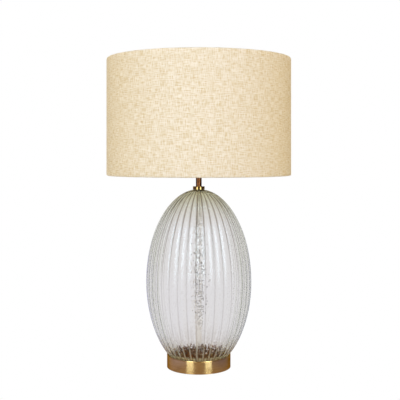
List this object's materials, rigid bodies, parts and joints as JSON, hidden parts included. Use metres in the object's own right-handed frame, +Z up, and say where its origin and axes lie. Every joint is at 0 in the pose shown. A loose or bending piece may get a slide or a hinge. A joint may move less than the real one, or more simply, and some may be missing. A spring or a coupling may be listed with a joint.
{
  "type": "table lamp",
  "caption": "Table lamp with a clear fluted glass egg body on a brass base, a brass neck, a push-bar screw lampholder with its bulb, and a linen drum shade on a wire frame.",
  "frame": {"origin": "on the table, under the lamp's axis, at the middle of the felt pad's lower face", "axes": "+Z up the lamp's axis, -Y towards the viewer, +X to the viewer's right; the cord inlet is at +Y"},
  "size_m": [0.38, 0.38, 0.6361],
  "materials": {
    "antique_brass": "brushed, antiqued and lacquered",
    "dark_brass": "antiqued dark and lacquered",
    "bare_brass": "stamped and left bare",
    "nickel_tube": "drawn, nickel plated",
    "zinc_steel": "zinc plated",
    "clear_glass": "mould pressed, finely seeded",
    "cast_weight": "as cast, black painted",
    "soft_rubber": "moulded",
    "felt": "pressed wool felt",
    "linen": "plain weave with slubs",
    "shade_film": "rolled translucent sheet",
    "white_wire": "powder coated",
    "black_phenolic": "compression moulded",
    "bush_nylon": "moulded",
    "cap_aluminium": "rolled thread",
    "bulb_body": "moulded",
    "opal_globe": "blow moulded, opal",
    "led_board": "white solder mask"
  },
  "bodies": {
    "stand": {"felt_pad": "felt", "base_shell": "antique_brass", "base_rim": "antique_brass", "seat_plate": "antique_brass", "base_weight": "cast_weight", "base_washer": "zinc_steel", "base_nut": "zinc_steel", "cord_bush": "bush_nylon", "centre_rod": "zinc_steel", "rod_sleeve": "nickel_tube", "glass_gasket": "soft_rubber", "glass_body": "clear_glass", "top_gasket": "soft_rubber", "neck_collar": "antique_brass", "neck_tube": "dark_brass", "neck_nut": "antique_brass", "lampholder_dome": "dark_brass", "rod_grub_screw": "zinc_steel", "terminal_block": "black_phenolic", "terminal_screws": "bare_brass", "lampholder_skirt": "black_phenolic", "screw_shell": "bare_brass", "centre_contact": "bare_brass", "shade_clamp_ring": "black_phenolic"},
    "shade": {"shade_cover": "linen", "shade_lining": "shade_film", "shade_top_ring": "white_wire", "shade_bottom_ring": "white_wire", "shade_spider": "white_wire"},
    "push_bar": {"switch_push_bar": "black_phenolic"},
    "bulb_tip": {"bulb_tip_contact": "bare_brass"},
    "bulb": {"bulb_insulator": "black_phenolic", "bulb_screw_shell": "cap_aluminium", "bulb_housing": "bulb_body", "bulb_led_board": "led_board", "bulb_globe": "opal_globe"}
  },
  "joints": [
    {"name": "shade_swivel", "type": "hinge", "parent": "stand", "child": "shade", "pos_m": [0, 0, 0.4398], "axis": [0, 0, 1], "continuous": true},
    {"name": "switch_push", "type": "slide", "parent": "stand", "child": "push_bar", "axis": [1, 0, 0], "range_m": [0, 0.006]},
    {"name": "bulb_lift", "type": "slide", "parent": "stand", "child": "bulb_tip", "axis": [0, 0, 1], "range_m": [0, 0.01816]},
    {"name": "bulb_turn", "type": "hinge", "parent": "bulb_tip", "child": "bulb", "pos_m": [0, 0, 0.46], "axis": [0, 0, 1], "range_deg": [0, 1800]}
  ],
  "couplings": [
    {"joint": "bulb_lift", "follows": "bulb_turn", "m_per_rad": 0.00057757}
  ]
}
